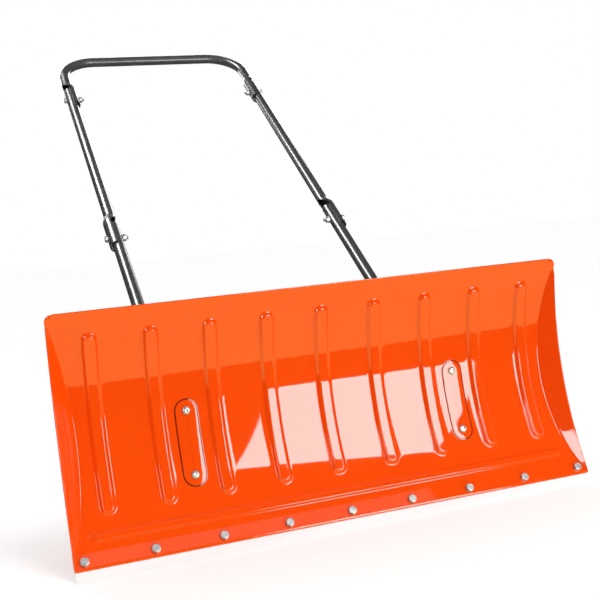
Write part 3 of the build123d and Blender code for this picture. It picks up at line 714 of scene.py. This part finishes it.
def add_vanes(mesh_data, matrix, face):
    """Pinwheel of sloping vanes on one face of the wheel, open beside each vane."""
    radii = spread(HUB_R - 2, VANE_START - 3, 3) + spread(VANE_START - 2, VANE_START + 1, 1)
    radii += spread(VANE_START + 2.5, VANE_END - 1, 1.6) + spread(VANE_END, RIM_LIP + 1, 0.9)
    rows = []
    for radius in radii:
        share = (radius - VANE_START) / (VANE_END - VANE_START)
        row = []
        for i in range(VANE_COUNT * VANE_COLUMNS):
            turn = i / VANE_COLUMNS
            angle = 2 * pi * turn / VANE_COUNT - radians(VANE_TWIST) * share
            z = face * (VANE_FACE - vane_fall(radius, turn % 1))
            row.append(round_point(mesh_data, matrix, radius, angle, z))
        rows.append(row)
    faces = []
    for low, high, radius in zip(rows, rows[1:], radii):
        for i in range(len(low)):
            if VANE_START + 1 <= radius <= VANE_END - 2 and 1 <= i % VANE_COLUMNS <= 4:
                continue  # the opening
            j = (i + 1) % len(low)
            corners = (low[i], high[i], high[j], low[j])
            faces.append(mesh_data.faces.new(corners[::face]))
    mesh_data.normal_update()
    bmesh.ops.solidify(mesh_data, geom=faces, thickness=VANE_T * MM)


def build_wheel(side_name, side):
    """Tyre, rim and bush, turned about the axle; X counts outwards."""
    body = f"{side_name}_wheel"
    matrix = frame_of((side * WHEEL_X, AXLE_Y, AXLE_Z), (side, 0, 0))
    tyre, rim, bush = bmesh.new(), bmesh.new(), bmesh.new()
    mirrored = [(-z, radius, size) for z, radius, size in reversed(TYRE_HALF)]
    add_turned(tyre, matrix, rounded(list(TYRE_HALF) + mirrored), 96)
    edge = RIM_HALF - 1
    barrel = [(-edge, RIM_R, 0.6), (edge, RIM_R, 0.6), (edge, RIM_LIP, 1.2)]
    barrel += [(8, RIM_LIP - 1, 2), (-8, RIM_LIP - 1, 2), (-edge, RIM_LIP, 1.2)]
    add_turned(rim, matrix, rounded(barrel), 96)
    hub = [(-RIM_HALF, BUSH_R, 0.4), (-RIM_HALF, HUB_R - 1, 1.5), (0, HUB_R + 1, 2)]
    hub += [(RIM_HALF, HUB_R - 1, 1.5), (RIM_HALF, BUSH_R, 0.4)]
    add_turned(rim, matrix, rounded(hub))
    for face in (1, -1):
        add_vanes(rim, matrix, face)
    inner_face = frame_of((side * (WHEEL_X - RIM_HALF), AXLE_Y, AXLE_Z), (side, 0, 0))
    add_turned(bush, inner_face, collar(2 * RIM_HALF, M12 + 0.05, BUSH_R, 0.4), 48)
    add_piece(f"{side_name}_tread_tyre", tyre, body, "tyre_rubber", [f"{side_name}_tyre"], 60)
    add_piece(f"{side_name}_vane_rim", rim, body, "wheel_plastic", [f"{side_name}_rim"], 45)
    add_piece(f"{side_name}_bearing_bush", bush, body, "bush_bronze", [f"{side_name}_bush"])


# --- handle ------------------------------------------------------------------
def add_sections(mesh_data, sections):
    """Tube wall through (x, along, inwards, shift, outer, inner, half angle) sections.

    Inwards is the way the wall's solid half faces, as x and along; a half angle
    of pi closes the wall into a full tube.
    """
    turn = radians(HANDLE_ANGLE)
    upwards = Vector((0, -sin(turn), cos(turn)))
    last = TUBE_STEPS  # the last vertex of the outer arc; the inner arc follows it
    rows = []
    for x, along, (to_x, to_along), shift, outer, inner, half in sections:
        row = []
        for radius, way in ((outer, 1), (inner, -1)):
            for i in range(TUBE_STEPS + 1):
                angle = way * half * (2 * i / TUBE_STEPS - 1)
                reach = shift + radius * cos(angle)
                place = Vector(along_handle(along + to_along * reach, x + to_x * reach))
                row.append(mesh_data.verts.new((place + upwards * (radius * sin(angle))) * MM))
        rows.append(row)
    join_rows(mesh_data, rows)
    for low, high, start, end in zip(rows, rows[1:], sections, sections[1:]):
        if start[-1] < pi or end[-1] < pi:
            mesh_data.faces.new((low[-1], low[0], high[0], high[-1]))
        else:
            wall = {low[last], low[last + 1], high[last]}
            seam = [face for face in low[last].link_faces if wall <= set(face.verts)]
            bmesh.ops.delete(mesh_data, geom=seam, context="FACES_ONLY")
    for row in (rows[0], rows[-1]):
        for i in range(TUBE_STEPS):
            mesh_data.faces.new((row[i], row[i + 1], row[-i - 2], row[-i - 1]))
    bmesh.ops.remove_doubles(mesh_data, verts=mesh_data.verts, dist=0.001 * MM)


def cup_sections(x, joint, inwards):
    """Cup round the tube below, and its neck up to the full round tube."""
    cup_outer = CUP_INNER + CUP_WALL
    cup = (CUP_OFFSET, cup_outer, CUP_INNER, pi / 2)
    places = spread(joint - CUP_BELOW, joint + CUP_ABOVE, 12)
    sections = [(x, along, inwards, *cup) for along in places]
    for share in spread(0.1, 1, 0.1):
        ease = smooth_step(share, 0, 1)
        outer = cup_outer + (TUBE_R - cup_outer) * ease
        inner = CUP_INNER + (TUBE_R - TUBE_WALL - CUP_INNER) * ease
        along = joint + CUP_ABOVE + CUP_BLEND * share
        wall = (CUP_OFFSET * (1 - ease), outer, inner, pi / 2 * (1 + share))
        sections.append((x, along, inwards, *wall))
    return sections


def build_handle_bar():
    """The grip: two legs with cups at their ends, two bends and the bar across."""
    right = cup_sections(-TUBE_X, UPPER_JOINT, (1, 0))
    bend_start = BAR_AT - BAR_BEND
    for turn in spread(0, pi / 2, pi / 40):
        x, along = BAR_BEND * (1 - cos(turn)) - TUBE_X, bend_start + BAR_BEND * sin(turn)
        right.append((x, along, (cos(turn), -sin(turn)), *FULL_TUBE))
    left = []
    for x, along, (to_x, to_along), *wall in reversed(right):
        left.append((-x, along, (-to_x, to_along), *wall))
    mesh_data = bmesh.new()
    add_sections(mesh_data, right + left)
    add_piece("grip_tube", mesh_data, "handle", "tube_paint", ["handle_bar"], 50)


def build_side_tubes(side_name, side):
    """Lower and middle tube of one side, and the cap on the lower one's front end."""
    x = side * TUBE_X
    out = (side, 0)
    lower, middle, cap = bmesh.new(), bmesh.new(), bmesh.new()
    places = spread(FRONT_END, LOWER_JOINT + TUBE_ABOVE, 60)
    add_sections(lower, [(x, along, out, *FULL_TUBE) for along in places])
    sections = cup_sections(x, LOWER_JOINT, out)
    places = spread(sections[-1][1], UPPER_JOINT + TUBE_ABOVE, 60)[1:]
    add_sections(middle, sections + [(x, along, out, *FULL_TUBE) for along in places])
    rings = []
    for turn in spread(0, pi / 2, pi / 12):
        rings.append((2 * (1 - cos(turn)) - CAP_T, TUBE_R - 2 + 2 * sin(turn)))
    bore = TUBE_R - TUBE_WALL - 0.1
    rings += [(0.0, TUBE_R), (0.0, bore), (CAP_PLUG, bore)]
    turn = radians(HANDLE_ANGLE)
    add_rings(cap, frame_of(along_handle(FRONT_END, x), (0, cos(turn), sin(turn))), rings)
    for name, mesh_data, slot, node, smooth_angle in (
        ("lower_pipe", lower, "tube_paint", "lower_tube", 40),
        ("middle_pipe", middle, "tube_paint", "middle_tube", 50),
        ("end_cap", cap, "black_plastic", "tube_cap", 40),
    ):
        replaced = [f"{side_name}_{node}"]
        add_piece(f"{side_name}_{name}", mesh_data, "handle", slot, replaced, smooth_angle)


build_blade()
build_blade_fasteners()
build_joint_fasteners()
build_handle_bar()
for side_name, side in SIDES.items():
    build_pad(f"{side_name}_pad", side)
    build_side_fasteners(side_name, side)
    build_wheel(side_name, side)
    build_side_tubes(side_name, side)


# --- floor, light and camera -------------------------------------------------
def add_object(name, data):
    """Puts data in the scene as an object of that name."""
    obj = bpy.data.objects.new(name, data)
    bpy.context.scene.collection.objects.link(obj)
    return obj


WARM = (0.75, 0.85, 0.24)  # light thrown up by the floor before an orange blade


def build_floor():
    """Pale floor, a little brighter than its light makes it."""
    half = 60.0
    corners = [(-half, -half, 0), (half, -half, 0), (half, half, 0), (-half, half, 0)]
    mesh = bpy.data.meshes.new("floor")
    mesh.from_pydata(corners, [], [(0, 1, 2, 3)])
    n = Nodes("floor")
    n.colour(n.ramp(n.noise(0.6, 3.0), (0.93, 0.93, 0.93), (0.95, 0.95, 0.95)))
    n.set(Roughness=0.6, Specular_IOR_Level=0.1)
    n.set(Emission_Color=(1, 1, 1, 1), Emission_Strength=0.18)
    mesh.materials.append(n.material)
    floor = add_object("floor", mesh)
    floor.visible_glossy = False  # the bounce light stands for it in the gloss


def aim(obj, place, target, across=(1, 0, 0)):
    """Points a light at target, its width along across."""
    back = (Vector(place) - Vector(target)).normalized()
    side = (Vector(across) - back * back.dot(Vector(across))).normalized()
    turn = Matrix((side, back.cross(side), back)).transposed()
    obj.matrix_world = Matrix.Translation(place) @ turn.to_4x4()


def add_softbox(name, place, target, size, radiance, across=(1, 0, 0), tint=(1, 1, 1)):
    """Rectangular light, in metres, that shows only as a reflection of a given brightness."""
    light = bpy.data.lights.new(name, "AREA")
    light.shape = "RECTANGLE"
    light.size, light.size_y = size
    light.color = tint
    light.energy = 4 * pi * radiance * size[0] * size[1]
    box = add_object(name, light)
    aim(box, place, target, across)
    box.visible_camera = False
    box.visible_diffuse = False


def add_nested_softboxes(name, place, target, size, radiance, across, steps=5, feather=0.16):
    """Softboxes of growing width in one plane, each with its share of the brightness."""
    for i in range(steps):
        width = size[0] - feather + 2 * feather * i / (steps - 1)
        add_softbox(f"{name}_{i}", place, target, (width, size[1]), radiance / steps, across)


def add_sun(place, strength, spread_angle):
    """Broad daylight that shades the object but draws no disc in its gloss."""
    light = bpy.data.lights.new("sun", "SUN")
    light.energy = strength
    light.angle = radians(spread_angle)
    sun = add_object("sun", light)
    aim(sun, place, (0, 0, 0))
    sun.visible_glossy = False


def build_world(seen, shade, gloss):
    """White backdrop, a dimmer white that lights the object, and a dark surround in its gloss."""
    world = bpy.data.worlds.new("studio")
    bpy.context.scene.world = world
    world.use_nodes = True
    tree = world.node_tree
    path = tree.nodes.new("ShaderNodeLightPath")
    strength = shade  # for all other rays
    for output, value in (("Is Glossy Ray", gloss), ("Is Camera Ray", seen)):
        mix = tree.nodes.new("ShaderNodeMix")
        mix.inputs["B"].default_value = value
        if isinstance(strength, float):
            mix.inputs["A"].default_value = strength
        else:
            tree.links.new(strength, mix.inputs["A"])
        tree.links.new(path.outputs[output], mix.inputs["Factor"])
        strength = mix.outputs["Result"]
    tree.links.new(strength, tree.nodes["Background"].inputs["Strength"])
    tree.nodes["Background"].inputs["Color"].default_value = (1, 1, 1, 1)


def build_camera():
    """Camera in front of the blade, off its -X end and a little above its lip."""
    camera = bpy.data.cameras.new("camera")
    camera.lens, camera.sensor_width, camera.sensor_fit = 58.98, 36.0, "HORIZONTAL"
    camera.clip_end = 100.0
    right = Vector((0.9397, -0.3288, -0.0943)).normalized()
    forward = Vector((0.1098, 0.0288, 0.9935)).cross(right).normalized()
    up = right.cross(forward).normalized()
    obj = add_object("camera", camera)
    turn = Matrix((right, up, -forward)).transposed().to_4x4()
    obj.matrix_world = Matrix.Translation((-0.5722, -1.4857, 0.4850)) @ turn
    bpy.context.scene.camera = obj


build_floor()
build_world(seen=1.0, shade=0.72, gloss=0.04)
add_sun((0.45, -0.62, 0.75), 1.12, 30)
# Each softbox: place, target, size, brightness, and where needed its width's direction.
add_nested_softboxes(
    "key", (0.62, -1.30, 0.54), (0.06, 0.06, 0.15), (0.54, 0.92), 17.0, (0.92, 0.39, 0.08)
)
add_softbox("bounce", (0.1, -0.35, 0.004), (0.1, -0.35, 1.0), (3.4, 0.66), 0.5, tint=WARM)
add_softbox("overhead", (0.2, -0.9, 2.6), (0.1, 0.0, 0.1), (2.4, 1.2), 0.18)
add_softbox("left_side", (-1.7, -1.1, 1.05), (0.3, 0.05, 0.2), (0.3, 0.7), 3.5, (0.5, -0.8, 0))
add_softbox("tube_top", (-0.9, 1.1, 2.4), (-0.25, 0.7, 0.6), (0.5, 1.6), 8.0)
add_softbox("behind", (0.4, 2.8, 1.6), (0.0, 0.2, 0.2), (2.4, 0.9), 1.6)
build_camera()
bpy.context.scene.view_settings.view_transform = "Standard"
